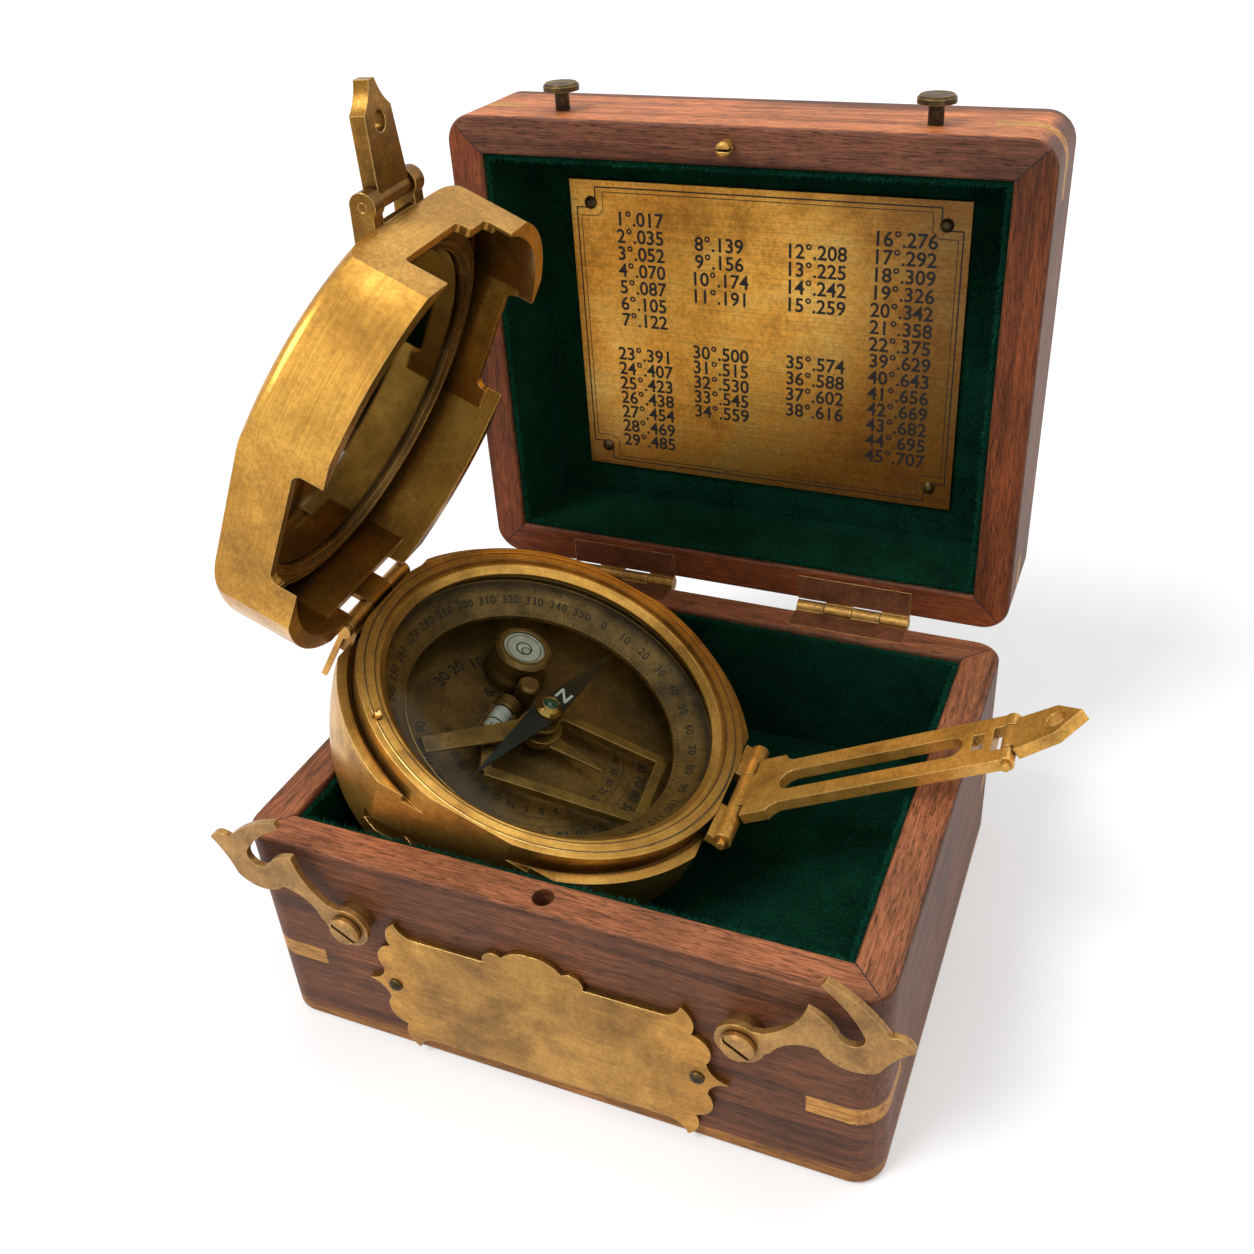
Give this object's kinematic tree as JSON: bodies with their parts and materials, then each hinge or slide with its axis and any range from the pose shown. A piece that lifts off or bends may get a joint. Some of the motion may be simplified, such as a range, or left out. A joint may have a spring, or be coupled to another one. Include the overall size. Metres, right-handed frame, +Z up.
{
  "type": "compass box",
  "caption": "Wooden case with hinged lid, swing hook latches and velvet lining, holding a folding pocket transit compass with mirror lid and sights.",
  "frame": {"origin": "middle of the underside of the base", "axes": "+X to the right along the front, +Y to the rear, +Z up"},
  "size_m": [0.1554, 0.139, 0.1745],
  "materials": {
    "rosewood": "oiled",
    "base_board_wood": "oiled",
    "key_wood": "oiled",
    "green_velvet": "velvet",
    "bright_brass": "polished",
    "engraved_brass": "aged, engraved",
    "aged_brass": "aged",
    "dark_brass": "dark patina",
    "window_glass": "clear",
    "vial_glass": "clear",
    "blued_steel": "blued",
    "green_jewel": "polished",
    "mirror_glass": "silvered"
  },
  "bodies": {
    "box_base": {"base_front_wall": "rosewood", "base_back_wall": "rosewood", "base_left_wall": "rosewood", "base_right_wall": "rosewood", "bottom_board": "base_board_wood", "base_corner_keys": "key_wood", "base_lining": "green_velvet", "nameplate": "bright_brass", "nameplate_pins": "dark_brass", "base_hinge_leaves": "dark_brass", "hinge_pins": "dark_brass", "hook_screws": "dark_brass", "hook_washers": "dark_brass"},
    "box_lid": {"lid_front_wall": "rosewood", "lid_back_wall": "rosewood", "lid_left_wall": "rosewood", "lid_right_wall": "rosewood", "top_board": "rosewood", "lid_corner_keys": "key_wood", "lid_lining": "green_velvet", "number_plate": "engraved_brass", "plate_nails": "dark_brass", "lid_hinge_leaves": "dark_brass", "hook_studs": "dark_brass", "locating_pin": "dark_brass"},
    "left_hook": {"left_hook": "dark_brass"},
    "right_hook": {"right_hook": "dark_brass"},
    "compass": {"compass_case": "aged_brass", "glass_ring": "aged_brass", "glass": "window_glass", "dial_ring": "engraved_brass", "scale_plate": "engraved_brass", "bulls_eye_housing": "aged_brass", "bulls_eye_glass": "vial_glass", "level_boss": "aged_brass", "pivot_post": "aged_brass", "case_hinge_leaves": "aged_brass", "case_hinge_pins": "aged_brass", "lid_stop_strip": "aged_brass"},
    "needle": {"needle": "blued_steel", "needle_cap": "aged_brass", "cap_jewel": "green_jewel"},
    "needle_lifter": {"needle_lifter": "aged_brass"},
    "lift_pin": {"lift_pin": "aged_brass"},
    "clinometer": {"clinometer_frame": "aged_brass", "vial_holder": "aged_brass", "tube_vial": "vial_glass"},
    "mirror_lid": {"mirror_lid_shell": "aged_brass", "mirror": "mirror_glass", "mirror_ring": "aged_brass", "sight_bracket": "aged_brass", "sight_pin_rod": "aged_brass"},
    "small_sight": {"small_sight_leaf": "aged_brass"},
    "long_sight": {"long_sight_arm": "aged_brass", "tip_pin": "aged_brass"},
    "peep_tip": {"peep_tip": "aged_brass"}
  },
  "joints": [
    {"name": "box_lid", "type": "hinge", "parent": "box_base", "child": "box_lid", "pos_m": [0, 0.0539, 0.049], "axis": [1, 0, 0], "range_deg": [0, 91]},
    {"name": "compass_lift", "type": "slide", "parent": "box_base", "child": "compass", "axis": [0, -0.158, 0.9874], "range_m": [0, 0.603]},
    {"name": "left_hook", "type": "hinge", "parent": "box_base", "child": "left_hook", "pos_m": [-0.0385, -0.0545, 0.0355], "axis": [0, 1, 0], "range_deg": [0, 53]},
    {"name": "right_hook", "type": "hinge", "parent": "box_base", "child": "right_hook", "pos_m": [0.0385, -0.0545, 0.0355], "axis": [0, -1, 0], "range_deg": [0, 63]},
    {"name": "mirror_lid", "type": "hinge", "parent": "compass", "child": "mirror_lid", "pos_m": [-0.05888, -0.00253, 0.07182], "axis": [0.0409, -0.999, -0.0195], "range_deg": [-90, 15]},
    {"name": "small_sight", "type": "hinge", "parent": "mirror_lid", "child": "small_sight", "pos_m": [-0.03865, -0.00336, 0.15646], "axis": [-0.0409, 0.999, 0.0195], "range_deg": [-150, 20]},
    {"name": "long_sight", "type": "hinge", "parent": "compass", "child": "long_sight", "pos_m": [0.0197, 0.00137, 0.037], "axis": [0.0409, -0.999, -0.0195], "range_deg": [-5, 94]},
    {"name": "peep_tip", "type": "hinge", "parent": "long_sight", "child": "peep_tip", "pos_m": [0.07068, 0.00296, 0.06245], "axis": [0.0409, -0.999, -0.0195], "range_deg": [-10, 80]},
    {"name": "needle", "type": "hinge", "parent": "compass", "child": "needle", "pos_m": [-0.0224, -0.0006, 0.04944], "axis": [0.4305, 0, 0.9026], "continuous": true},
    {"name": "clinometer", "type": "hinge", "parent": "compass", "child": "clinometer", "pos_m": [-0.0255, -0.0006, 0.04294], "axis": [0.4305, 0, 0.9026], "range_deg": [-10, 45]},
    {"name": "lift_pin", "type": "slide", "parent": "compass", "child": "lift_pin", "axis": [0.4305, 0, 0.9026], "range_m": [-0.0012, 0], "stiffness_N_per_m": 100, "springref_m": 0.002},
    {"name": "needle_lifter", "type": "slide", "parent": "compass", "child": "needle_lifter", "axis": [0.4305, 0, 0.9026], "range_m": [0, 0.0007]}
  ],
  "couplings": [
    {"joint": "box_lid", "follows": "compass_lift", "rad_per_m": 2.633},
    {"joint": "needle_lifter", "follows": "lift_pin", "ratio": -0.5}
  ]
}
